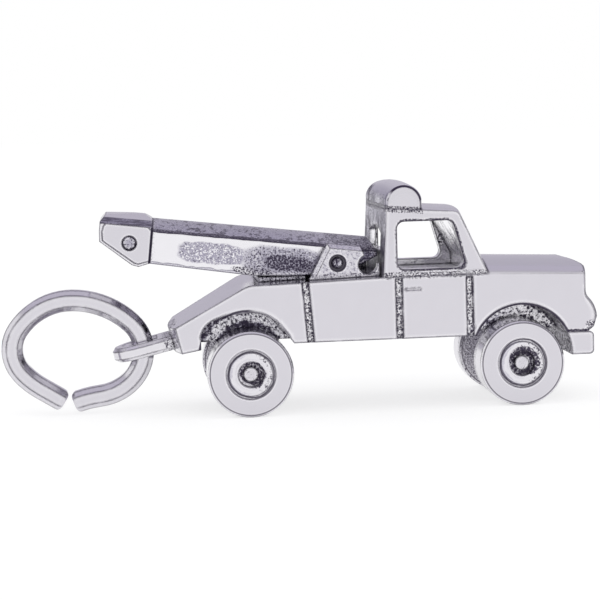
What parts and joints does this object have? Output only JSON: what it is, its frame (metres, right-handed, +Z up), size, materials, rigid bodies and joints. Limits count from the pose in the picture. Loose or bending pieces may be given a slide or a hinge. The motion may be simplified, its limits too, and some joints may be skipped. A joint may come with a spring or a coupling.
{
  "type": "tow truck charm",
  "caption": "Small cast silver tow truck charm with rolling wheels, a boom that swings up on a rivet, a bail at the tail and a split jump ring.",
  "frame": {"origin": "on the table, at the middle of the overall length (jump ring included) and width", "axes": "+X towards the front bumper, +Y towards the truck's left side, +Z up"},
  "size_m": [0.0313, 0.008, 0.012],
  "materials": {
    "polished_silver": "worn polish over a fine cast grain, dark oxide left in seams and recesses",
    "oxidised_silver": "darkened silver of the peened rivet ends"
  },
  "bodies": {
    "truck": {"body": "polished_silver", "cab": "polished_silver", "beacon": "polished_silver", "front_bumper": "polished_silver", "boom_base": "polished_silver", "bracket_right": "polished_silver", "bracket_left": "polished_silver", "boom_pin": "oxidised_silver", "front_axle": "oxidised_silver", "rear_axle": "oxidised_silver", "bail": "polished_silver"},
    "boom_arm": {"boom": "polished_silver", "boom_head": "polished_silver", "head_pin": "oxidised_silver"},
    "front_right_roller": {"front_right_wheel": "polished_silver"},
    "front_left_roller": {"front_left_wheel": "polished_silver"},
    "rear_right_roller": {"rear_right_wheel": "polished_silver"},
    "rear_left_roller": {"rear_left_wheel": "polished_silver"},
    "ring": {"jump_ring": "polished_silver"}
  },
  "joints": [
    {"name": "boom_raise", "type": "hinge", "parent": "truck", "child": "boom_arm", "pos_m": [0.00214, 0, 0.0078], "axis": [0, 1, 0], "range_deg": [0, 25]},
    {"name": "front_right_wheel_roll", "type": "hinge", "parent": "truck", "child": "front_right_roller", "pos_m": [0.01166, 0, 0.00225], "axis": [0, 1, 0], "continuous": true},
    {"name": "front_left_wheel_roll", "type": "hinge", "parent": "truck", "child": "front_left_roller", "pos_m": [0.01166, 0, 0.00225], "axis": [0, 1, 0], "continuous": true},
    {"name": "rear_right_wheel_roll", "type": "hinge", "parent": "truck", "child": "rear_right_roller", "pos_m": [-0.00264, 0, 0.00225], "axis": [0, 1, 0], "continuous": true},
    {"name": "rear_left_wheel_roll", "type": "hinge", "parent": "truck", "child": "rear_left_roller", "pos_m": [-0.00264, 0, 0.00225], "axis": [0, 1, 0], "continuous": true},
    {"name": "ring_swing", "type": "hinge", "parent": "truck", "child": "ring", "pos_m": [-0.00937, 0, 0.00314], "axis": [0, 1, 0], "range_deg": [-20, 20]}
  ]
}
